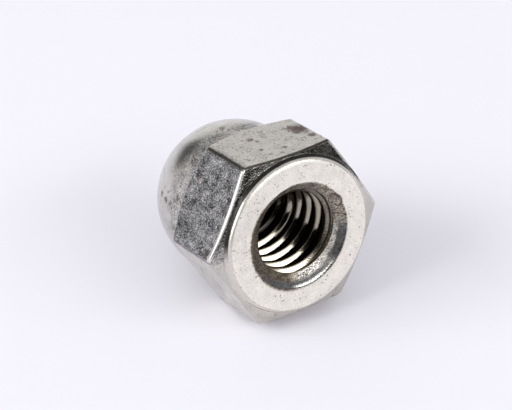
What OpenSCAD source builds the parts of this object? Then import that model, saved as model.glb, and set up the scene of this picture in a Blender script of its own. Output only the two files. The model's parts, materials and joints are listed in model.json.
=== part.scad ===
// Domed cap nut, M6 x 1: one piece, turned from hexagonal bar, drilled and tapped from the open end.
// It lies on a flat of its hexagon and leans back on its dome, with the tapped end facing -Y.

/* [Thread] */
// Outside diameter of the screw thread that the nut takes
thread_d = 6; // [5:0.25:6.5]
// Distance from one turn of the thread to the next
thread_pitch = 1; // [0.5:0.25:1.5]
// Metal left between the drill point and the top of the dome
dome_wall = 1.8; // [1:0.1:4]
// Angle of the point that the drill leaves, side to side
drill_point_angle = 118; // [90:1:150]

/* [Countersink] */
// Diameter of the countersink where it meets the bearing face
countersink_d = 6.5; // [6.5:0.1:7.5]
// Angle of the countersink, side to side
countersink_angle = 105; // [90:5:120]
// Radius that breaks the edge between the countersink and the bearing face
countersink_edge_r = 0.12; // [0.05:0.01:0.25]

/* [Hexagon] */
// Distance between two opposite flats
across_flats = 10; // [10:0.1:13]
// Height from the bearing face to the back of a flat, at the flat's middle
hex_height = 5.1; // [3:0.1:6]
// Angle of the front chamfer, from the plane of the bearing face
front_chamfer_angle = 19; // [10:1:35]
// Angle of the rear chamfer, from the plane of the bearing face
rear_chamfer_angle = 32; // [15:1:40]

/* [Bearing face] */
// Outside diameter of the bearing face with its rounded edge
face_d = 9.65; // [8.5:0.05:9.95]
// Height of the step from the bearing face down to the front chamfer
face_step = 0.4; // [0.25:0.05:0.8]
// Radius of the edge round the bearing face
face_edge_r = 0.22; // [0.05:0.01:0.24]

/* [Dome] */
// Diameter of the dome and of the short neck under it
dome_d = 9.3; // [8:0.1:9.8]
// Height from the bearing face to the top of the dome
total_height = 11.6; // [11:0.1:14]
// Radius of the fillet between the neck and the rear chamfer
neck_fillet_r = 0.35; // [0.1:0.05:0.6]

/* [Hidden] */
round_faces = 96;

// Hole: it is drilled to the crest diameter of a 60 degree thread
crest_depth = 5 / 8 * cos(30) * thread_pitch;
bore_r = thread_d / 2 - crest_depth;
bore_depth = total_height - dome_wall - bore_r / tan(drill_point_angle / 2);
sink_r = countersink_d / 2;
sink_angle = countersink_angle / 2;
sink_depth = (sink_r - bore_r) / tan(sink_angle);
sink_corner = [sink_r, 0];
sink_run = [-sin(sink_angle), cos(sink_angle)];
face_run = [1, 0];

// Outside: radii from the axis, heights from the bearing face
flat_r = across_flats / 2;
corner_r = flat_r / cos(30);
blank_r = corner_r + 0.5;
face_r = face_d / 2;
dome_r = dome_d / 2;
dome_z = total_height - dome_r;
front_edge_z = front_chamfer_z(flat_r);
neck_corner = [dome_r, rear_chamfer_z(dome_r)];
rear_chamfer_run = [cos(rear_chamfer_angle), -sin(rear_chamfer_angle)];
neck_run = [0, 1];

// Rest: the nut pivots on one edge of the lower flat until its dome touches the floor
pivot_z = dome_r < flat_r ? hex_height : front_edge_z;
pivot_run = dome_z - pivot_z;
lean = 90 - atan(pivot_run / flat_r) - asin(dome_r / norm([pivot_run, flat_r]));
axis_height = dome_r + dome_z * sin(lean);
back_reach = dome_r + dome_z * cos(lean);
face_reach = (face_r - face_edge_r) * sin(lean) + face_edge_r * (1 - cos(lean));
flat_reach = flat_r * sin(lean) - front_edge_z * cos(lean);
front_reach = max(face_reach, flat_reach);

function front_chamfer_z(r) = face_step + (r - face_r) * tan(front_chamfer_angle);
function rear_chamfer_z(r) = hex_height - (r - flat_r) * tan(rear_chamfer_angle);

// Where an arc of radius r sits in a corner, with edge_a and edge_b as unit vectors along its two sides
function arc_run(edge_a, edge_b, r) = r / tan(acos(edge_a * edge_b) / 2);
function arc_center(corner, edge_a, edge_b, r) =
    corner + (edge_a + edge_b) / norm(edge_a + edge_b) * r / sin(acos(edge_a * edge_b) / 2);
// The outline points that take the corner's place, before the arc's circle is cut away
function arc_outline(corner, edge_a, edge_b, r) = [
    corner + edge_a * arc_run(edge_a, edge_b, r),
    arc_center(corner, edge_a, edge_b, r),
    corner + edge_b * arc_run(edge_a, edge_b, r)
];

// Bearing face: a low round land with a rounded edge
module face_profile() {
    square([face_r - face_edge_r, face_step]);
    translate([0, face_edge_r]) square([face_r, face_step - face_edge_r]);
    translate([face_r - face_edge_r, face_edge_r]) circle(r = face_edge_r, $fn = round_faces);
}

// Collar and neck: the band that carries the flats, two chamfers, and a fillet up to the neck
module collar_profile() {
    difference() {
        polygon(concat(
            [[0, face_step], [face_r, face_step]],
            [[blank_r, front_chamfer_z(blank_r)], [blank_r, rear_chamfer_z(blank_r)]],
            arc_outline(neck_corner, rear_chamfer_run, neck_run, neck_fillet_r),
            [[dome_r, dome_z], [0, dome_z]]
        ));
        translate(arc_center(neck_corner, rear_chamfer_run, neck_run, neck_fillet_r))
            circle(r = neck_fillet_r, $fn = round_faces);
    }
}

module dome_profile() {
    intersection() {
        translate([0, dome_z]) circle(r = dome_r, $fn = round_faces);
        translate([0, dome_z]) square(dome_r);
    }
}

module turned_blank() {
    rotate_extrude($fn = round_faces) {
        face_profile();
        collar_profile();
        dome_profile();
    }
}

module hexagonal_bar() {
    cylinder(r = corner_r, h = total_height, $fn = 6);
}

// Hole: a countersink with its edge broken, the tapping bore and the drill point
module tapped_hole() {
    rotate_extrude($fn = round_faces)
        difference() {
            polygon(concat(
                [[0, 0]],
                arc_outline(sink_corner, face_run, sink_run, countersink_edge_r),
                [[bore_r, sink_depth], [bore_r, bore_depth], [0, total_height - dome_wall]]
            ));
            translate(arc_center(sink_corner, face_run, sink_run, countersink_edge_r))
                circle(r = countersink_edge_r, $fn = round_faces);
        }
}

module upright_nut() {
    difference() {
        intersection() {
            turned_blank();
            hexagonal_bar();
        }
        tapped_hole();
    }
}

module cap_nut() {
    color("silver")
        translate([0, (front_reach - back_reach) / 2, axis_height])
            rotate([-90 - lean, 0, 0])
                upright_nut();
}

cap_nut();
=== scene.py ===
import json
import math

import bmesh
import bpy
import numpy as np
from mathutils import Matrix, Vector


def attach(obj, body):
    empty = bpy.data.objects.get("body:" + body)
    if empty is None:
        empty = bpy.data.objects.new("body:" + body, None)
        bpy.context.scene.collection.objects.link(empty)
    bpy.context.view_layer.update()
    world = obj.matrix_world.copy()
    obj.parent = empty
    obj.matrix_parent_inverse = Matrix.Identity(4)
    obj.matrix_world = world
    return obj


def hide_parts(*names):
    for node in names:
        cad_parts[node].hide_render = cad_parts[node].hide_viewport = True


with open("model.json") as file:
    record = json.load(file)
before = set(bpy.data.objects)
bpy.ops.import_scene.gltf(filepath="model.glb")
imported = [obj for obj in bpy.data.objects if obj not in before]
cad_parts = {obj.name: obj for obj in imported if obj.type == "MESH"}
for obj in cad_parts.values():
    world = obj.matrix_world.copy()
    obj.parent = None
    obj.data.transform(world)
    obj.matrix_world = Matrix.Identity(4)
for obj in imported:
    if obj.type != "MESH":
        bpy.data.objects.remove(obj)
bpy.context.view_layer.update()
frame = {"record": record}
mounts = {m["name"]: m for m in frame["record"]["mounts"]}
mm = 0.001
weld = 1e-4  # vertices this close together, in millimetres, are one
touch = 1e-3  # and this close to a slope, they lie on it

# Where the nut lies: the thread's axis and the middle of the bearing face, from the record's mounts
axisIn = -Vector(mounts["thread"]["axis"]).normalized()  # from the bearing face into the dome
threadMiddle = Vector(mounts["thread"]["pos_m"])
facePoint = Vector(mounts["bearing_face"]["pos_m"])
faceCentre = threadMiddle + axisIn * (facePoint - threadMiddle).dot(axisIn)
lean = math.asin(-axisIn.z)


def tanDeg(angle):
    return math.tan(math.radians(angle))


def makeActive(ob):
    bpy.ops.object.select_all(action="DESELECT")
    ob.select_set(True)
    bpy.context.view_layer.objects.active = ob


def editSelect(ob, kind, test):
    # Goes to edit mode with only the vertices or edges that pass the test selected
    makeActive(ob)
    bpy.ops.object.mode_set(mode="EDIT")
    bpy.ops.mesh.select_mode(type=kind)
    bpy.ops.mesh.select_all(action="DESELECT")
    bm = bmesh.from_edit_mesh(ob.data)
    for item in bm.verts if kind == "VERT" else bm.edges:
        item.select_set(bool(test(item)))
    bm.select_flush_mode()
    bmesh.update_edit_mesh(ob.data)


def leaveEdit():
    bpy.ops.object.mode_set(mode="OBJECT")


def applyModifier(ob, name):
    makeActive(ob)
    bpy.ops.object.modifier_apply(modifier=name)


def readPoints(ob):
    co = np.empty(len(ob.data.vertices) * 3)
    ob.data.vertices.foreach_get("co", co)
    return co.reshape(-1, 3)


def writePoints(ob, co):
    ob.data.vertices.foreach_set("co", co.ravel())
    ob.data.update()


def drawOutline(name, corners):
    # A plane merged to one point, then extruded from corner to corner: corners are (radius, height)
    bpy.ops.object.select_all(action="DESELECT")
    bpy.ops.mesh.primitive_plane_add(size=1)
    ob = bpy.context.object
    ob.name = name
    ob.data.name = name
    bpy.ops.object.mode_set(mode="EDIT")
    bpy.ops.mesh.select_all(action="SELECT")
    bpy.ops.mesh.merge(type="CENTER")
    place = Vector((0, 0, 0))
    for i, (radius, height) in enumerate(corners):
        step = Vector((radius, 0, height)) - place
        place += step
        if i == 0:
            bpy.ops.transform.translate(value=step)
        else:
            bpy.ops.mesh.extrude_vertices_move(TRANSFORM_OT_translate={"value": step})
    leaveEdit()
    return ob


def roundCorner(ob, corner, radius, segments):
    spot = Vector((corner[0], 0, corner[1]))
    editSelect(ob, "VERT", lambda v: (v.co - spot).length < weld)
    vertex = next(v for v in bmesh.from_edit_mesh(ob.data).verts if v.select)
    sides = [(e.other_vert(vertex).co - vertex.co).normalized() for e in vertex.link_edges]
    reach = radius / math.tan(sides[0].angle(sides[1]) / 2)
    bpy.ops.mesh.bevel(offset=reach, offset_type="OFFSET", segments=segments, affect="VERTICES")
    leaveEdit()


def divideSpan(ob, start, end, rows):
    # The straight part of the outline between two corners is cut into rows
    a = Vector((start[0], 0, start[1]))
    run = Vector((end[0], 0, end[1])) - a
    length = run.length
    run.normalize()

    def onSpan(v):
        along = (v.co - a).dot(run)
        return -weld < along < length + weld and (v.co - a - run * along).length < weld

    editSelect(ob, "EDGE", lambda e: onSpan(e.verts[0]) and onSpan(e.verts[1]))
    bpy.ops.mesh.subdivide(number_cuts=rows - 1)
    leaveEdit()


def turnOutline(ob, columns):
    screw = ob.modifiers.new("turned", "SCREW")
    screw.angle = math.tau
    screw.screw_offset = 0
    screw.steps = screw.render_steps = columns
    screw.use_merge_vertices = True
    screw.merge_threshold = weld
    applyModifier(ob, "turned")
    editSelect(ob, "VERT", lambda v: True)
    bpy.ops.mesh.remove_doubles(threshold=weld)
    bpy.ops.mesh.normals_make_consistent(inside=False)
    leaveEdit()


def softMax(a, b, width):
    blend = np.clip(1 - np.abs(a - b) / width, 0, None)
    return np.maximum(a, b) + blend * blend * width / 4


def softMin(a, b, width):
    return -softMax(-a, -b, width)


def smoothStep(low, high, value):
    t = np.clip((value - low) / (high - low), 0, 1)
    return t * t * (3 - 2 * t)


# The nut, upright on its bearing face: millimetres and degrees
nut = {
    "acrossFlats": 10.0,
    "hexHeight": 5.1,
    "frontChamfer": 19.0,
    "rearChamfer": 32.0,
    "faceDiameter": 9.65,
    "faceStep": 0.40,
    "faceCorner": 9.26,  # the step's wall leans in to this diameter
    "faceEdge": 0.40,
    "barRadius": 6.25,  # of the blank, before the flats are milled
    "domeDiameter": 9.3,
    "height": 11.6,
    "neckFillet": 0.35,
    "sinkDiameter": 6.5,
    "sinkAngle": 105.0,
    "sinkEdge": 0.50,
    "domeWall": 1.8,
    "pointAngle": 118.0,
    "rowGap": 0.045,  # between the rows of faces on the chamfers
    # rows of faces along each other part of the turned outline
    "rows": {"point": 3, "sink": 8, "sinkEdge": 7, "face": 10, "faceEdge": 8, "bar": 12,
             "neckFillet": 6, "neck": 5, "dome": 40},
    "columns": 360,
    "columnsAtCorners": 0.6,  # how far the columns crowd towards the corners, 0 to 1
    "milledFrom": 4.325,  # radius outside which the milling moves vertices
    "snappedFrom": 4.925,  # radius outside which rows are moved onto the edge of a flat
    # widths of the rounding: upright edges by corner, then front and rear edges by flat, with the
    # fifth flat on top, and both at the corners
    "cornerWear": (0.05, 0.10, 0.10, 0.12, 0.22, 0.10),
    "frontWear": (0.16, 0.14, 0.20, 0.60, 0.01, 0.10),
    "rearWear": (0.25, 0.25, 0.25, 0.12, 0.14, 0.25),
    "frontTip": 0.08,
    "rearTip": 0.12,
    "wearChange": (1.2, 3.6),  # heights between which the front's rounding gives way to the rear's
    "smoothAngle": 34,
}


def makeBlank():
    flatR = nut["acrossFlats"] / 2
    faceR = nut["faceDiameter"] / 2
    domeR = nut["domeDiameter"] / 2
    barR = nut["barRadius"]
    boreR = mounts["thread"]["dims"]["r_mm"]
    sinkR = nut["sinkDiameter"] / 2
    holeEnd = nut["height"] - nut["domeWall"]
    pointTip = (0, holeEnd)
    pointRim = (boreR, holeEnd - boreR / tanDeg(nut["pointAngle"] / 2))
    sinkRoot = (boreR, (sinkR - boreR) / tanDeg(nut["sinkAngle"] / 2))
    sinkRim = (sinkR, 0)
    faceRim = (nut["faceCorner"] / 2, 0)
    stepRoot = (faceR, nut["faceStep"])
    frontTip = (barR, nut["faceStep"] + (barR - faceR) * tanDeg(nut["frontChamfer"]))
    rearTip = (barR, nut["hexHeight"] - (barR - flatR) * tanDeg(nut["rearChamfer"]))
    neck = (domeR, nut["hexHeight"] - (domeR - flatR) * tanDeg(nut["rearChamfer"]))
    domeCorner = (domeR, nut["height"])
    domeTip = (0, nut["height"])
    corners = [pointTip, pointRim, sinkRoot, sinkRim, faceRim, stepRoot]
    corners += [frontTip, rearTip, neck, domeCorner, domeTip]
    blank = drawOutline("cap_nut_worn", corners)
    rows = nut["rows"]
    roundCorner(blank, sinkRim, nut["sinkEdge"], rows["sinkEdge"])
    roundCorner(blank, faceRim, nut["faceEdge"], rows["faceEdge"])
    roundCorner(blank, neck, nut["neckFillet"], rows["neckFillet"])
    roundCorner(blank, domeCorner, domeR, rows["dome"])
    divideSpan(blank, pointTip, pointRim, rows["point"])
    divideSpan(blank, sinkRoot, sinkRim, rows["sink"])
    divideSpan(blank, sinkRim, faceRim, rows["face"])
    divideSpan(blank, stepRoot, frontTip, round((barR - faceR) / nut["rowGap"]))
    divideSpan(blank, frontTip, rearTip, rows["bar"])
    divideSpan(blank, rearTip, neck, round((barR - domeR) / nut["rowGap"]))
    divideSpan(blank, neck, domeCorner, rows["neck"])
    turnOutline(blank, nut["columns"])
    return blank


def crowdColumns(ob):
    co = readPoints(ob)
    angle = np.arctan2(co[:, 1], co[:, 0])
    shift = -np.sin(6 * angle) * nut["columnsAtCorners"] / 6
    turned = angle + shift
    r = np.hypot(co[:, 0], co[:, 1])
    co[:, 0] = r * np.cos(turned)
    co[:, 1] = r * np.sin(turned)
    writePoints(ob, co)


def snapRows(ob, flatR):
    # On both chamfers, the row next to the edge of a flat is moved onto it, so that the edge is crisp
    co = readPoints(ob)
    r = np.hypot(co[:, 0], co[:, 1])
    angle = np.arctan2(co[:, 1], co[:, 0])
    fromFlat = angle % math.radians(60) - math.radians(30)
    edgeR = flatR / np.cos(fromFlat)
    beside = (np.abs(r - edgeR) <= nut["rowGap"] / 2) & (r > nut["snappedFrom"])
    frontSlope = tanDeg(nut["frontChamfer"])
    rearSlope = -tanDeg(nut["rearChamfer"])
    front = nut["faceStep"] + (r - nut["faceDiameter"] / 2) * frontSlope
    rear = nut["hexHeight"] + (r - flatR) * rearSlope
    onEdge = np.zeros(len(co), bool)
    for height, slope in ((front, frontSlope), (rear, rearSlope)):
        near = beside & (np.abs(co[:, 2] - height) < touch)
        co[near, 2] += (edgeR[near] - r[near]) * slope
        co[near, 0] *= edgeR[near] / r[near]
        co[near, 1] *= edgeR[near] / r[near]
        onEdge |= near
    writePoints(ob, co)
    return onEdge


def millFlats(ob):
    # Six flats cut into the blank; soft minimums leave their edges as rounded as on the worn nut
    flatR = nut["acrossFlats"] / 2
    onEdge = snapRows(ob, flatR)
    co = readPoints(ob)
    outer = np.hypot(co[:, 0], co[:, 1]) > nut["milledFrom"]
    p = co[outer]
    angle = np.degrees(np.arctan2(p[:, 1], p[:, 0]))
    flat = np.round((angle - 30) / 60).astype(int) % 6
    corner = np.round(angle / 60).astype(int) % 6
    reach = np.stack([p[:, 0] * math.cos(a) + p[:, 1] * math.sin(a)
                      for a in (math.radians(30 + 60 * k) for k in range(6))])
    reach.sort(axis=0)
    # the two longest reaches are equal at a corner, and one is half the other in the middle of a flat
    hexReach = softMax(reach[-1], reach[-2], np.array(nut["cornerWear"])[corner] * math.sqrt(3))
    atCorner = np.clip(2 * reach[-2] / reach[-1] - 1, 0, 1) ** 2
    front = np.array(nut["frontWear"])[flat]
    front += (nut["frontTip"] - front) * atCorner
    rear = np.array(nut["rearWear"])[flat]
    rear += (nut["rearTip"] - rear) * atCorner
    wear = front + (rear - front) * smoothStep(*nut["wearChange"], p[:, 2])
    scale = softMin(hexReach, np.full(len(p), flatR), wear) / hexReach
    co[outer, 0] = p[:, 0] * scale
    co[outer, 1] = p[:, 1] * scale
    writePoints(ob, co)
    editSelect(ob, "VERT", lambda v: onEdge[v.index])
    bpy.ops.mesh.vert_connect()  # the edge runs through the faces that it crosses
    leaveEdit()


# The thread, cut by a tap that is one turn of a 60 degree thread, repeated
thread = {
    "pitch": 1.0,
    "majorDiameter": 6.0,
    "coreRadius": 2.33,  # inside the bore, so that the bore keeps the crests
    "rootFlat": 0.09,
    "rootRound": 0.05,
    "rootRows": 2,
    "flankRows": 6,
    "start": -1.2,
    "depth": 8.0,
    "runIn": 1.5,  # the turns begin this far before the start, and go on past the depth
    "spareTurns": 3,
    "taper": 4.2,  # the last turns are cut shallower and shallower
    "phase": 205.0,  # degrees
    "steps": 120,
}


def makeTap():
    majorR = thread["majorDiameter"] / 2
    coreR = thread["coreRadius"]
    flat = thread["rootFlat"] / 2
    foot = flat + (majorR - coreR) * tanDeg(30)
    corners = [(coreR, -foot), (majorR, -flat), (majorR, flat), (coreR, foot)]
    corners.append((coreR, thread["pitch"] - foot))
    tap = drawOutline("tap", corners)
    divideSpan(tap, corners[0], corners[1], thread["flankRows"])
    divideSpan(tap, corners[2], corners[3], thread["flankRows"])
    roundCorner(tap, corners[1], thread["rootRound"], thread["rootRows"])
    roundCorner(tap, corners[2], thread["rootRound"], thread["rootRows"])
    screw = tap.modifiers.new("turns", "SCREW")
    screw.angle = math.tau
    screw.screw_offset = thread["pitch"]
    screw.iterations = math.ceil(thread["depth"] - thread["start"]) + thread["spareTurns"]
    screw.steps = screw.render_steps = thread["steps"]
    screw.use_merge_vertices = True
    screw.merge_threshold = weld
    applyModifier(tap, "turns")
    tap.location.z = thread["start"] - thread["runIn"]
    tap.rotation_euler.z = math.radians(thread["phase"])
    bpy.ops.object.transform_apply(location=True, rotation=True, scale=True)
    editSelect(tap, "VERT", lambda v: True)
    bpy.ops.mesh.remove_doubles(threshold=weld)
    # both ends are cut off square
    along = (0, 0, 1)
    bpy.ops.mesh.bisect(plane_co=(0, 0, thread["start"]), plane_no=along, use_fill=True,
                        clear_inner=True)
    bpy.ops.mesh.select_all(action="SELECT")
    bpy.ops.mesh.bisect(plane_co=(0, 0, thread["depth"]), plane_no=along, use_fill=True,
                        clear_outer=True)
    bpy.ops.mesh.select_all(action="SELECT")
    bpy.ops.mesh.normals_make_consistent(inside=False)
    leaveEdit()
    co = readPoints(tap)
    r = np.hypot(co[:, 0], co[:, 1])
    tipR = coreR + (majorR - coreR) * np.clip((thread["depth"] - co[:, 2]) / thread["taper"], 0, 1)
    scale = np.minimum(1, tipR / r)
    co[:, 0] *= scale
    co[:, 1] *= scale
    writePoints(tap, co)
    return tap


def cutThread(ob, tap):
    cut = ob.modifiers.new("thread", "BOOLEAN")
    cut.operation = "DIFFERENCE"
    cut.solver = "EXACT"
    cut.object = tap
    applyModifier(ob, "thread")
    bpy.data.objects.remove(tap)


def layDown(ob):
    makeActive(ob)
    ob.rotation_euler = (-math.pi / 2 - lean, 0, 0)
    ob.scale = (mm, mm, mm)
    ob.location = faceCentre
    bpy.ops.object.transform_apply(location=True, rotation=True, scale=True)
    bpy.ops.object.shade_smooth_by_angle(angle=math.radians(nut["smoothAngle"]))


nutPiece = makeBlank()
print("blank turned:", len(nutPiece.data.polygons), "faces")
crowdColumns(nutPiece)
millFlats(nutPiece)
tap = makeTap()
print("tap made:", len(tap.data.polygons), "faces")
cutThread(nutPiece, tap)
layDown(nutPiece)
triangles = sum(len(p.vertices) - 2 for p in nutPiece.data.polygons)
print("thread cut:", triangles, "triangles")


def setInput(tree, socket, value):
    # A socket as the value is linked, a number or colour is typed in
    if isinstance(value, bpy.types.NodeSocket):
        tree.links.new(value, socket)
    else:
        socket.default_value = value


def addNode(tree, kind, **values):
    # Settings and inputs by name, or i and a number for an input whose name is used twice
    node = tree.nodes.new("ShaderNode" + kind)
    for key, value in values.items():
        if hasattr(node, key):
            setattr(node, key, value)
        elif key[0] == "i" and key[1:].isdigit():
            setInput(tree, node.inputs[int(key[1:])], value)
        else:
            setInput(tree, node.inputs[key], value)
    return node


def mathNode(tree, operation, *terms):
    node = tree.nodes.new("ShaderNodeMath")
    node.operation = operation
    for socket, term in zip(node.inputs, terms):
        setInput(tree, socket, term)
    return node.outputs[0]


def rampNode(tree, value, low, high, start=0.0, end=1.0):
    # Goes smoothly from start to end while the value goes from low to high
    node = tree.nodes.new("ShaderNodeMapRange")
    node.interpolation_type = "SMOOTHSTEP"
    names = ("Value", "From Min", "From Max", "To Min", "To Max")
    for name, item in zip(names, (value, low, high, start, end)):
        setInput(tree, node.inputs[name], item)
    return node.outputs["Result"]


def mixNode(tree, kind, factor, a, b):
    node = tree.nodes.new("ShaderNodeMix")
    node.data_type = kind
    first, out = {"FLOAT": (2, 0), "RGBA": (6, 2)}[kind]  # each kind has sockets of its own
    for i, value in ((0, factor), (first, a), (first + 1, b)):
        setInput(tree, node.inputs[i], value)
    return node.outputs[out]


def noiseNode(tree, place, scale, detail, roughness=0.5):
    node = addNode(tree, "TexNoise", Vector=place, Scale=scale, Detail=detail, Roughness=roughness)
    return node.outputs["Fac"]


# The patterns in the steel; noise lies about 0.5
patterns = {
    "stainNoise": 6.0,
    "stainRagged": 2.8,  # how far the noise pushes the edge of a stain, in radii
    "stainEdge": (0.50, 1.15),  # where it starts to fade and where it is gone, in radii
    "cloudHeight": 0.8,  # of the clouds in the bump, against the fine grain
    "contrast": 4.0,
    "patchScale": 0.16,  # the patches where flecks are thick, against the flecks
    "patchWeight": 0.35,
    "fleckLimit": 0.89,  # flecks show where their noise is above this
    "fleckShare": -0.08,  # what a share of 1 adds to the limit
    "fleckEdge": (-0.02, 0.03),
    "noFlecks": 0.02,  # a share below this gives none
    "streakPatch": 0.8,  # scale of the patches where streaks show
    "streakPatchEdge": (0.45, 0.60),
    "streakLine": (0.01, 0.045),  # a streak follows the middle value of its noise
}


def newGroup(name, inputs, outputs):
    group = bpy.data.node_groups.new(name, "ShaderNodeTree")
    group.interface.new_socket(name="Place", in_out="INPUT", socket_type="NodeSocketVector")
    for label, kind, default in inputs:
        socket = group.interface.new_socket(name=label, in_out="INPUT", socket_type="NodeSocket" + kind)
        socket.default_value = default
    for label in outputs:
        group.interface.new_socket(name=label, in_out="OUTPUT", socket_type="NodeSocketFloat")
    start = group.nodes.new("NodeGroupInput").outputs
    end = group.nodes.new("NodeGroupOutput").inputs
    return group, start, end


def addGroup(tree, group, **values):
    node = tree.nodes.new("ShaderNodeGroup")
    node.node_tree = group
    for key, value in values.items():
        setInput(tree, node.inputs[key], value)
    return node.outputs


def makeStainGroup():
    # A ragged round mark about a point
    inputs = [("Centre", "Vector", (0, 0, 0)), ("Radius", "Float", 0.2)]
    group, start, end = newGroup("stain", inputs, ["Mask"])
    noise = noiseNode(group, start["Place"], patterns["stainNoise"], detail=3.0, roughness=0.7)
    gap = addNode(group, "VectorMath", operation="DISTANCE", i0=start["Place"], i1=start["Centre"])
    share = mathNode(group, "DIVIDE", gap.outputs["Value"], start["Radius"])
    ragged = patterns["stainRagged"]
    push = mathNode(group, "MULTIPLY_ADD", noise, ragged, -ragged / 2)
    mask = rampNode(group, mathNode(group, "ADD", share, push), *patterns["stainEdge"], 1, 0)
    group.links.new(mask, end["Mask"])
    return group


def makeGrainGroup():
    # Fine pitting: a height for the bump, a fine and a cloudy value for colour
    inputs = [("Size", "Float", 0.1), ("Cloud", "Float", 1.0)]
    group, start, end = newGroup("grain", inputs, ["Height", "Fine", "Cloudy"])
    fineScale = mathNode(group, "DIVIDE", 1.0, start["Size"])
    cloudScale = mathNode(group, "DIVIDE", 1.0, start["Cloud"])
    fine = noiseNode(group, start["Place"], fineScale, detail=2.0, roughness=0.6)
    cloudy = noiseNode(group, start["Place"], cloudScale, detail=3.0, roughness=0.6)
    height = mathNode(group, "MULTIPLY_ADD", cloudy, patterns["cloudHeight"], fine)
    middle = (1 + patterns["cloudHeight"]) / 2
    group.links.new(mathNode(group, "SUBTRACT", height, middle), end["Height"])  # no ridge between zones
    contrast = patterns["contrast"]
    for noise, name in ((fine, "Fine"), (cloudy, "Cloudy")):
        group.links.new(mathNode(group, "MULTIPLY_ADD", noise, contrast, -contrast / 2), end[name])
    return group


def makeFleckGroup():
    # Small dark flecks, closer together in some places than in others
    inputs = [("Size", "Float", 0.2), ("Share", "Float", 0.5)]
    group, start, end = newGroup("fleck", inputs, ["Mask"])
    scale = mathNode(group, "DIVIDE", 1.0, start["Size"])
    fine = noiseNode(group, start["Place"], scale, detail=2.5, roughness=0.65)
    patchScale = mathNode(group, "MULTIPLY", scale, patterns["patchScale"])
    patch = noiseNode(group, start["Place"], patchScale, detail=1.0)
    value = mathNode(group, "MULTIPLY_ADD", patch, patterns["patchWeight"], fine)
    limit = mathNode(group, "MULTIPLY_ADD", start["Share"], patterns["fleckShare"],
                     patterns["fleckLimit"])
    mask = rampNode(group, mathNode(group, "SUBTRACT", value, limit), *patterns["fleckEdge"])
    anyFlecks = mathNode(group, "GREATER_THAN", start["Share"], patterns["noFlecks"])
    group.links.new(mathNode(group, "MULTIPLY", mask, anyFlecks), end["Mask"])
    return group


def makeStreakGroup():
    # Thin broken lines round the nut, as rubbing and turning leave them
    inputs = [("Length", "Float", 2.0), ("Width", "Float", 0.2)]
    group, start, end = newGroup("streak", inputs, ["Mask"])
    x, y, z = addNode(group, "SeparateXYZ", Vector=start["Place"]).outputs
    along = [mathNode(group, "DIVIDE", side, start["Length"]) for side in (x, y)]
    across = mathNode(group, "DIVIDE", z, start["Width"])
    pulled = addNode(group, "CombineXYZ", X=along[0], Y=along[1], Z=across).outputs["Vector"]
    lines = noiseNode(group, pulled, scale=1.0, detail=1.0)
    patch = noiseNode(group, start["Place"], patterns["streakPatch"], detail=2.0)
    offLine = mathNode(group, "ABSOLUTE", mathNode(group, "SUBTRACT", lines, 0.5))
    line = rampNode(group, offLine, *patterns["streakLine"], 1, 0)
    here = rampNode(group, patch, *patterns["streakPatchEdge"])
    group.links.new(mathNode(group, "MULTIPLY", line, here), end["Mask"])
    return group


steel = {
    "color": (0.66, 0.645, 0.622),
    "warmPush": (0.11, -0.01, -0.22),  # what a warmth of 1 does to red, green and blue
    "grainSize": 0.10,
    "grainDepth": 0.06,
    "cloudSize": 0.7,
    "cloudShare": 0.65,  # of the clouds in the mottling, against the fine grain
    "fleckSize": 0.16,
    "fleckStrength": 0.8,
    "streakLength": 1.8,
    "streakWidth": 0.22,
    "streakStrength": 0.42,
    "brown": (0.068, 0.036, 0.022, 1),
    "brownRoughness": 0.5,
    "brownMetallic": 0.1,
    "brownEdge": (0.3, 0.9),  # how much brown starts to dull the metal, and how much ends it
}

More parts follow.
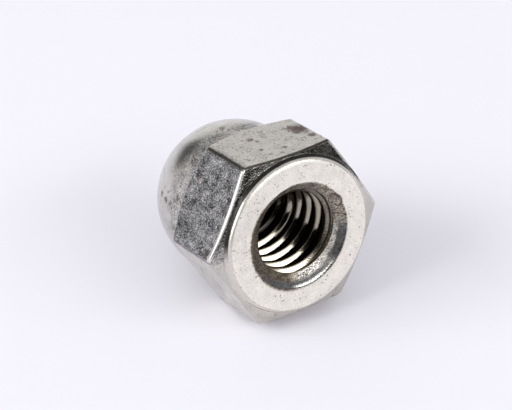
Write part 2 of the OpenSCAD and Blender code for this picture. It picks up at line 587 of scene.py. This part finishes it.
# By zone: roughness, depth of the grain, tone against the colour, metallic, mottling, flecks, warmth
# and streaks
zoneLooks = {
    "flats": (0.26, 0.25, 0.99, 1.0, 0.24, 0.4, 0.15, 0.8),
    # topFlat and leftFlat: these two flats are toned darker than the others as painted shade; their
    # flecks and mottling are the steel's own
    "topFlat": (0.26, 0.10, 0.79, 1.0, 0.26, 1.20, 0.15, 0.0),
    "leftFlat": (0.23, 0.66, 0.385, 1.0, 1.42, 0.6, -0.1, 0.0),
    "chamfer": (0.24, 0.06, 0.86, 1.0, 0.12, 0.3, 0.2, 0.3),
    # darkChamfer and blackChamfer: painted dark reflection, the chamfer darker and near black on its
    # upper side
    "darkChamfer": (0.15, 0.24, 0.46, 1.0, 1.10, 0.8, 0.1, 0.2),
    "blackChamfer": (0.17, 0.38, 0.13, 1.0, 1.50, 0.8, 0.2, 0.0),
    # neck: its grain and brown flecks are the steel's own; its lower tone is painted shade, the dark
    # crescent between hex and dome
    "neck": (0.32, 0.70, 0.64, 0.95, 0.85, 1.2, 0.1, 0.3),
    "dome": (0.20, 0.14, 0.88, 1.0, 0.12, 0.6, 0.1, 0.2),
    "frontEdge": (0.16, 0.04, 1.05, 1.0, 0.05, 0.0, 0.0, 0.0),
    # darkEdge: painted shade, dark lines along the top flat's front edge and its corner with the left
    # flat
    "darkEdge": (0.40, 0.20, 0.08, 0.9, 0.50, 0.0, 0.5, 0.0),
    "rearEdge": (0.20, 0.10, 1.10, 1.0, 0.10, 0.2, 0.0, 0.0),
    "step": (0.26, 0.15, 1.00, 1.0, 0.15, 0.0, 0.3, 0.0),
    # painted shade: the step's wall near black on its upper side
    "stepGrime": (0.28, 0.30, 0.05, 1.0, 0.60, 0.0, 0.2, 0.0),
    "face": (0.50, 0.15, 1.29, 0.5, 0.15, 0.70, 0.24, 0.0),
    # faceTop: painted light, the upper side of the bearing face lighter
    "faceTop": (0.50, 0.15, 1.40, 0.5, 0.15, 0.70, 0.22, 0.0),
    "sink": (0.28, 0.75, 0.78, 0.95, 0.80, 1.3, 0.3, 0.0),
    # brown grime flecks, and painted shade darkening one side of the countersink
    "sinkGrime": (0.42, 0.80, 0.21, 0.85, 1.30, 1.5, 1.1, 0.0),
    # a rougher patch of the countersink, toned darker on one side as painted shade
    "sinkDull": (0.34, 0.80, 0.46, 0.95, 1.10, 1.6, 0.7, 0.0),
    "sinkGlint": (0.24, 0.80, 1.05, 1.0, 0.90, 0.6, 0.2, 0.0),
    "sinkShade": (0.30, 0.50, 0.20, 1.0, 0.60, 0.5, -0.1, 0.0),
    # sinkRim: a bright worn rim, with a painted highlight on one side of the countersink
    "sinkRim": (0.22, 0.20, 1.05, 1.0, 0.20, 0.2, 0.1, 0.0),
    "bore": (0.08, 0.03, 0.50, 1.0, 0.15, 0.0, 0.7, 0.0),
    "firstTurn": (0.20, 0.30, 0.34, 1.0, 0.60, 0.5, 0.8, 0.0),
    # turnLine: painted shade, dark lines along the first turn's root and flank
    "turnLine": (0.40, 0.30, 0.05, 0.9, 0.60, 0.5, 0.9, 0.0),
    # darkBore: painted shade, one side of the bore darker
    "darkBore": (0.10, 0.03, 0.22, 1.0, 0.15, 0.0, 0.4, 0.0),
    # deepBore: painted shade, the bore near black deeper in
    "deepBore": (0.12, 0.03, 0.04, 1.0, 0.15, 0.0, 0.4, 0.0),
    # crests: painted dark reflection on the thread's crests
    "crests": (0.30, 0.10, 0.14, 1.0, 0.40, 0.0, 1.0, 0.0),
}

# Where the zones lie, in nut millimetres. A bound says what it measures, where it starts and where it
# is full: r out from the axis, z up from the bearing face, front and rear up from the chamfers' cones,
# across from the axis towards the flat at an angle. toward is one side of the nut, by its angle and two
# cosines
areas = {
    "chamfer": [("r", 4.60, 4.70), ("z", 0.95, 0.70)],
    "rightFlat": [("across", -30, 4.82, 4.90), ("r", 4.97, 5.0)],
    "topFlat": [("across", -90, 4.82, 4.90), ("r", 4.97, 5.0)],
    "leftFlat": [("across", -150, 4.82, 4.90), ("r", 4.97, 5.0)],
    "step": [("z", 0.43, 0.40), ("r", 4.3, 4.4)],
    "face": [("z", 0.07, 0.02), ("r", 3.2, 3.32)],
    "sink": [("z", 0.72, 0.66), ("r", 3.32, 3.20)],
    "wideSink": [("z", 0.72, 0.66), ("r", 3.44, 3.24)],
    "bore": [("z", 0.66, 0.72), ("r", 3.2, 3.1), ("z", 10.1, 9.9)],
    "firstTurn": [("z", 0.66, 0.72), ("r", 3.2, 3.1), ("z", 10.1, 9.9), ("z", 1.60, 1.45),
                  ("toward", 350, 0.1, 0.5)],
}

# Each zone covers what came before it. It lies where its areas and bounds meet; a plain number thins it
zones = [
    ("chamfer", "chamfer"),
    # painted dark reflection: the chamfer darker towards the top, near black on one side
    ("darkChamfer", "chamfer", ("toward", -110, 0.24, 0.38)),
    ("blackChamfer", "chamfer", ("toward", 293, 0.58, 0.84)),
    # the neck ring, partly painted shade between the hex and the dome
    ("neck", ("z", 5.05, 5.2)),
    ("dome", ("z", 6.2, 7.4)),
    ("flats", "rightFlat"),
    # painted shade: the top and left flats toned darker than the other flats
    ("topFlat", "topFlat"),
    ("leftFlat", "leftFlat"),
    ("frontEdge", ("toward", -150, 0.86, 0.87), ("across", -150, 4.84, 4.88), ("front", 0.24, 0.20)),
    # painted shade: dark lines along the top flat's front edge and at its corner with the left flat
    ("darkEdge", ("toward", -90, 0.86, 0.87), ("across", -90, 4.86, 4.90), ("front", 0.08, 0.04)),
    ("darkEdge", "topFlat", "leftFlat", ("z", 0.7, 0.8), 0.8),
    ("rearEdge", ("rear", -0.09, -0.03), ("rear", 0.05, 0.0)),
    ("step", "step"),
    # painted shade: the step's wall darker towards the top
    ("stepGrime", "step", ("z", 0.16, 0.22), ("toward", 255, 0.20, 0.45)),
    ("face", "face"),
    # painted light: the bearing face lighter towards the top
    ("faceTop", "face", ("toward", 285, 0.1, 0.9)),
    ("sink", "sink"),
    # painted shade: one side of the countersink darker and rougher
    ("sinkDull", "sink", ("toward", 315, 0.5, 0.8)),
    ("sinkGlint", "sink", ("r", 2.86, 2.78), ("toward", 82, 0.88, 0.97)),
    # brown grime flecks with painted shade on one side of the countersink
    ("sinkGrime", "sink", ("toward", 190, -0.25, 0.45)),
    ("sinkGrime", "wideSink", ("toward", 165, 0.2, 0.7)),
    ("sinkShade", "sink", ("r", 2.80, 2.98), ("toward", 100, 0.55, 0.85)),
    ("sinkShade", "sink", ("r", 2.76, 2.88), ("toward", 27, 0.87, 0.97)),
    # painted highlight: the countersink's rim brighter on one side
    ("sinkRim", ("r", 3.04, 3.12), ("r", 3.30, 3.24), ("toward", 74, 0.84, 0.95)),
    ("bore", "bore"),
    ("firstTurn", "firstTurn"),
    # painted shade: dark lines along the first turn's root and flank
    ("turnLine", "firstTurn", ("r", 2.64, 2.69), ("r", 2.79, 2.74)),
    ("turnLine", "firstTurn", ("r", 2.88, 2.93)),
    # painted shade: one side of the bore darker
    ("darkBore", "bore", ("toward", 245, 0.1, 0.6)),
    # painted shade: the bore darker deeper in
    ("deepBore", "bore", ("z", 4.6, 6.6)),
    # painted dark reflection: the thread's crests darker
    ("crests", ("r", 2.56, 2.47), ("z", 10.1, 9.9)),
]

# Brown marks: place in nut millimetres, radius, strength
stains = [
    ((2.38, -5.0, 3.05), 0.62, 1.0),
    ((2.10, -5.0, 3.45), 0.40, 0.9),
    ((2.12, -5.0, 2.75), 0.36, 0.9),
    ((2.50, -5.0, 1.85), 0.28, 0.9),
    ((2.45, -5.0, 2.45), 0.25, 0.6),
    ((-0.55, -5.0, 3.70), 0.24, 0.8),
    ((-0.35, -5.0, 3.25), 0.16, 0.7),
    ((-0.82, -5.0, 2.09), 0.15, 0.9),
    ((0.41, -5.0, 1.49), 0.16, 0.9),
    ((-0.08, -5.0, 1.04), 0.12, 0.7),
    ((-0.65, -5.0, 1.20), 0.10, 0.6),
    ((-3.84, -3.36, 4.35), 0.18, 0.7),
    ((-4.09, -2.92, 4.91), 0.14, 0.7),
    ((-4.45, -1.20, 7.30), 0.24, 0.9),
    ((-4.32, -1.30, 7.95), 0.20, 0.8),
    ((-4.50, -1.10, 6.80), 0.18, 0.7),
    ((-4.35, -1.65, 7.20), 0.13, 0.7),
    ((-4.20, -1.75, 7.75), 0.10, 0.6),
    ((-0.45, -4.63, 6.98), 0.22, 0.6),
    ((0.04, -4.57, 6.11), 0.20, 0.6),
    ((-0.28, -4.62, 6.47), 0.14, 0.6),
    ((2.94, 0.46, 0.20), 0.10, 0.9),
    ((2.84, -1.57, 0.05), 0.08, 1.0),
    ((2.64, 1.46, 0.20), 0.10, 0.9),
]

# A curved nick in the rim of the hole: part of a circle, kept within two bounds
nick = {
    "centre": (2.50, -1.30, 0.10),
    "radius": 0.50,
    "width": 0.11,
    "side": ("toward", -20, 0.90, 0.97),
    "outside": ("r", 2.90, 3.05),
}


def blendZones(tree, base, parts):
    # Each (mask, value) in turn covers what came before
    value = base
    for mask, number in parts:
        value = mixNode(tree, "FLOAT", mask, value, number)
    return value


def makeSteel():
    mat = bpy.data.materials.new("worn_steel")
    mat.use_nodes = True
    tree = mat.node_tree
    shader = tree.nodes["Principled BSDF"]
    # to the nut's own millimetres, its axis along Z and its bearing face at 0
    turn = Matrix.Rotation(math.pi / 2 + lean, 3, "X")
    mapping = addNode(tree, "Mapping", Vector=addNode(tree, "TexCoord").outputs["Object"])
    mapping.inputs["Location"].default_value = turn @ faceCentre * (-1 / mm)
    mapping.inputs["Rotation"].default_value = (math.pi / 2 + lean, 0, 0)
    mapping.inputs["Scale"].default_value = (1 / mm, 1 / mm, 1 / mm)
    nutMm = mapping.outputs["Vector"]
    x, y, z = addNode(tree, "SeparateXYZ", Vector=nutMm).outputs

    def multiply(first, *others):
        for other in others:
            first = mathNode(tree, "MULTIPLY", first, other)
        return first

    def aboveCone(slope, height, radius):
        drop = mathNode(tree, "MULTIPLY_ADD", r, -slope, radius * slope - height)
        return mathNode(tree, "ADD", z, drop)

    def acrossFlat(angle):
        a = math.radians(angle)
        way = (math.cos(a), math.sin(a), 0)
        return addNode(tree, "VectorMath", operation="DOT_PRODUCT", i0=nutMm, i1=way).outputs["Value"]

    r = mathNode(tree, "SQRT", mathNode(tree, "ADD", multiply(x, x), multiply(y, y)))
    measures = {
        "r": r,
        "z": z,
        "front": aboveCone(tanDeg(nut["frontChamfer"]), nut["faceStep"], nut["faceDiameter"] / 2),
        "rear": aboveCone(-tanDeg(nut["rearChamfer"]), nut["hexHeight"], nut["acrossFlats"] / 2),
    }
    masks = {}

    def maskOf(bound):
        # each bound is made once, however many zones use it
        if bound not in masks:
            kind, *angle, start, full = bound
            value = acrossFlat(angle[0]) if angle else measures[kind]
            if kind == "toward":
                value = mathNode(tree, "DIVIDE", value, r)
            if start < full:
                masks[bound] = rampNode(tree, value, start, full)
            else:
                masks[bound] = rampNode(tree, value, full, start, 1, 0)
        return masks[bound]

    def zoneMask(parts):
        factors = []
        for part in parts:
            if isinstance(part, str):
                factors += [maskOf(bound) for bound in areas[part]]
            else:
                factors.append(maskOf(part) if isinstance(part, tuple) else part)
        return multiply(*factors)

    placed = [(zoneMask(parts), zoneLooks[name]) for name, *parts in zones]
    plain = zoneLooks["flats"]
    rough, depth, tone, metal, mottle, flecks, warmth, streaks = (
        blendZones(tree, plain[i], [(mask, look[i]) for mask, look in placed])
        for i in range(len(plain)))
    grain = addGroup(tree, makeGrainGroup(), Place=nutMm, Size=steel["grainSize"],
                     Cloud=steel["cloudSize"])
    bump = addNode(tree, "Bump", Height=multiply(grain["Height"], depth), Strength=1.0,
                   Distance=steel["grainDepth"] * mm)

    # brown: flecks and streaks, then stains, then the nick
    fleck = addGroup(tree, makeFleckGroup(), Place=nutMm, Size=steel["fleckSize"], Share=flecks)["Mask"]
    streak = addGroup(tree, makeStreakGroup(), Place=nutMm, Length=steel["streakLength"],
                      Width=steel["streakWidth"])["Mask"]
    brown = mathNode(tree, "MAXIMUM", multiply(fleck, steel["fleckStrength"]),
                     multiply(streak, streaks, steel["streakStrength"]))
    stainGroup = makeStainGroup()
    for centre, radius, strength in stains:
        mark = addGroup(tree, stainGroup, Place=nutMm, Centre=centre, Radius=radius)["Mask"]
        brown = mathNode(tree, "MAXIMUM", multiply(mark, strength), brown)
    gap = addNode(tree, "VectorMath", operation="DISTANCE", i0=nutMm, i1=nick["centre"]).outputs["Value"]
    offLine = mathNode(tree, "ABSOLUTE", mathNode(tree, "SUBTRACT", gap, nick["radius"]))
    line = multiply(rampNode(tree, offLine, 0.0, nick["width"], 1, 0), maskOf(nick["side"]))
    brown = mathNode(tree, "MAXIMUM", brown, multiply(line, maskOf(nick["outside"])))

    mottling = mathNode(tree, "MULTIPLY_ADD", grain["Cloudy"], steel["cloudShare"], grain["Fine"])
    shade = multiply(tone, mathNode(tree, "MULTIPLY_ADD", mottling, mottle, 1.0))
    red, green, blue = (
        multiply(shade, mathNode(tree, "MULTIPLY_ADD", warmth, value * push, value))
        for value, push in zip(steel["color"], steel["warmPush"]))
    grey = addNode(tree, "CombineColor", Red=red, Green=green, Blue=blue).outputs["Color"]
    dulling = rampNode(tree, brown, *steel["brownEdge"], 1.0, steel["brownMetallic"])
    finish = {
        "Base Color": mixNode(tree, "RGBA", brown, grey, steel["brown"]),
        "Roughness": mixNode(tree, "FLOAT", brown, rough, steel["brownRoughness"]),
        "Metallic": multiply(metal, dulling),
        "Normal": bump.outputs["Normal"],
    }
    for name, socket in finish.items():
        tree.links.new(socket, shader.inputs[name])
    return mat


nutPiece.data.materials.clear()
nutPiece.data.materials.append(makeSteel())
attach(nutPiece, "root")
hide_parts("cap_nut")
print("steel made:", len(zones), "zones,", len(stains), "stains")

# Floor
floorLook = {"size": 3.0, "color": (0.87, 0.86, 0.92, 1), "roughness": 1.0, "specular": 0.0}
bpy.ops.object.select_all(action="DESELECT")
bpy.ops.mesh.primitive_plane_add(size=floorLook["size"], location=(0, 0, 0))
floor = bpy.context.object
floor.name = "floor"
floorMat = bpy.data.materials.new("pale_floor")
floorMat.use_nodes = True
floorShader = floorMat.node_tree.nodes["Principled BSDF"]
floorShader.inputs["Base Color"].default_value = floorLook["color"]
floorShader.inputs["Roughness"].default_value = floorLook["roughness"]
floorShader.inputs["Specular IOR Level"].default_value = floorLook["specular"]
floor.data.materials.append(floorMat)

# Soft boxes and cards round the nut. Heading, height, wide and tall are degrees as seen from it, with
# heading 0 along +X and 90 along +Y. Distance is in millimetres, and feather is how much of a side fades
cards = {
    "leftSoftbox": dict(heading=168, height=33, wide=44, tall=24, level=6.6, distance=900, feather=0.1),
    "frontSoftbox": dict(heading=-72, height=33, wide=76, tall=20, level=7.2, distance=900, feather=0.45),
    "edgeReflector": dict(heading=199, height=22, wide=26, tall=36, level=3.0, distance=380, feather=0.1),
    "backCard": dict(heading=58, height=6, wide=66, tall=44, level=0.95, distance=300, feather=0.2),
    "backFlag": dict(heading=103, height=24, wide=34, tall=44, level=0.08, distance=200, feather=0.2),
    "frontFlag": dict(heading=-84, height=13.5, wide=92, tall=31, level=0.002, distance=45, feather=0.04),
    "lowFlag": dict(heading=-78, height=-2, wide=60, tall=22, level=0.002, distance=24, feather=0.04),
}
onlyReflected = ("edgeReflector", "backFlag", "frontFlag", "lowFlag")


def makeCard(name, card):
    h, e = math.radians(card["heading"]), math.radians(card["height"])
    out = Vector((math.cos(h) * math.cos(e), math.sin(h) * math.cos(e), math.sin(e)))
    bpy.ops.object.select_all(action="DESELECT")
    bpy.ops.mesh.primitive_plane_add(size=1)
    ob = bpy.context.object
    ob.name = name
    d = card["distance"] * mm
    ob.scale = (2 * d * tanDeg(card["wide"] / 2), 2 * d * tanDeg(card["tall"] / 2), 1)
    ob.rotation_euler = (-out).to_track_quat("Z", "Y").to_euler()
    ob.location = faceCentre + out * d
    bpy.ops.object.transform_apply(location=True, rotation=True, scale=True)
    mat = bpy.data.materials.new(name)
    mat.use_nodes = True
    tree = mat.node_tree
    tree.nodes.remove(tree.nodes["Principled BSDF"])
    # it fades out towards its edges, as a soft box does
    uv = addNode(tree, "SeparateXYZ", Vector=addNode(tree, "TexCoord").outputs["UV"]).outputs
    fade = []
    for side in ("X", "Y"):
        fromMiddle = mathNode(tree, "ABSOLUTE", mathNode(tree, "SUBTRACT", uv[side], 0.5))
        fade.append(rampNode(tree, fromMiddle, 0.5 - card["feather"], 0.5, 1, 0))
    glow = addNode(tree, "Emission", Color=(1, 1, 1, 1), Strength=card["level"]).outputs[0]
    clear = addNode(tree, "BsdfTransparent").outputs[0]
    both = addNode(tree, "MixShader", i0=mathNode(tree, "MULTIPLY", *fade), i1=clear, i2=glow)
    tree.links.new(both.outputs[0], tree.nodes["Material Output"].inputs["Surface"])
    ob.data.materials.append(mat)
    ob.visible_camera = False
    if name in onlyReflected:  # these change what the steel reflects, not the light
        ob.visible_diffuse = False
        ob.visible_shadow = False


for name, card in cards.items():
    makeCard(name, card)
print("cards set:", len(cards))

# Sky of the studio: its level at the sides and overhead, and how far up it changes, from 0 to 1
sky = {"color": (0.97, 0.97, 1.0, 1), "sides": 0.69, "overhead": 0.64, "change": (0.3, 1.0)}
world = bpy.data.worlds.new("studio")
bpy.context.scene.world = world
world.use_nodes = True
skyTree = world.node_tree
background = skyTree.nodes["Background"].inputs
background["Color"].default_value = sky["color"]
way = addNode(skyTree, "SeparateXYZ", Vector=addNode(skyTree, "TexCoord").outputs["Generated"]).outputs
level = rampNode(skyTree, way["Z"], *sky["change"], sky["sides"], sky["overhead"])
skyTree.links.new(level, background["Strength"])

# Camera: where the photograph was taken from
view = {
    "azimuth": -32.85,
    "elevation": 33.45,
    "distance": 140.5,
    "lens": 172.9,
    "sensor": 36.0,
    "clipStart": 10.0,
    "facePixel": (300.11, 236.47),  # where the middle of the bearing face shows
    "imageSize": (512, 410),
}


def makeCamera():
    az, el = math.radians(view["azimuth"]), math.radians(view["elevation"])
    away = Vector((-math.sin(az) * math.cos(el), math.cos(az) * math.cos(el), -math.sin(el)))
    right = Vector((math.cos(az), math.sin(az), 0))
    down = away.cross(right)
    width, height = view["imageSize"]
    distance = view["distance"] * mm
    perPixel = distance * view["sensor"] / view["lens"] / width
    across = (view["facePixel"][0] - width / 2) * perPixel
    drop = (view["facePixel"][1] - height / 2) * perPixel
    bpy.ops.object.camera_add(location=faceCentre - away * distance - right * across - down * drop,
                              rotation=Matrix((right, -down, -away)).transposed().to_euler())
    camera = bpy.context.object
    camera.data.lens = view["lens"]
    camera.data.sensor_width = view["sensor"]
    camera.data.clip_start = view["clipStart"] * mm
    bpy.context.scene.camera = camera


makeCamera()
bpy.context.scene.view_settings.view_transform = "Standard"
print("camera set")
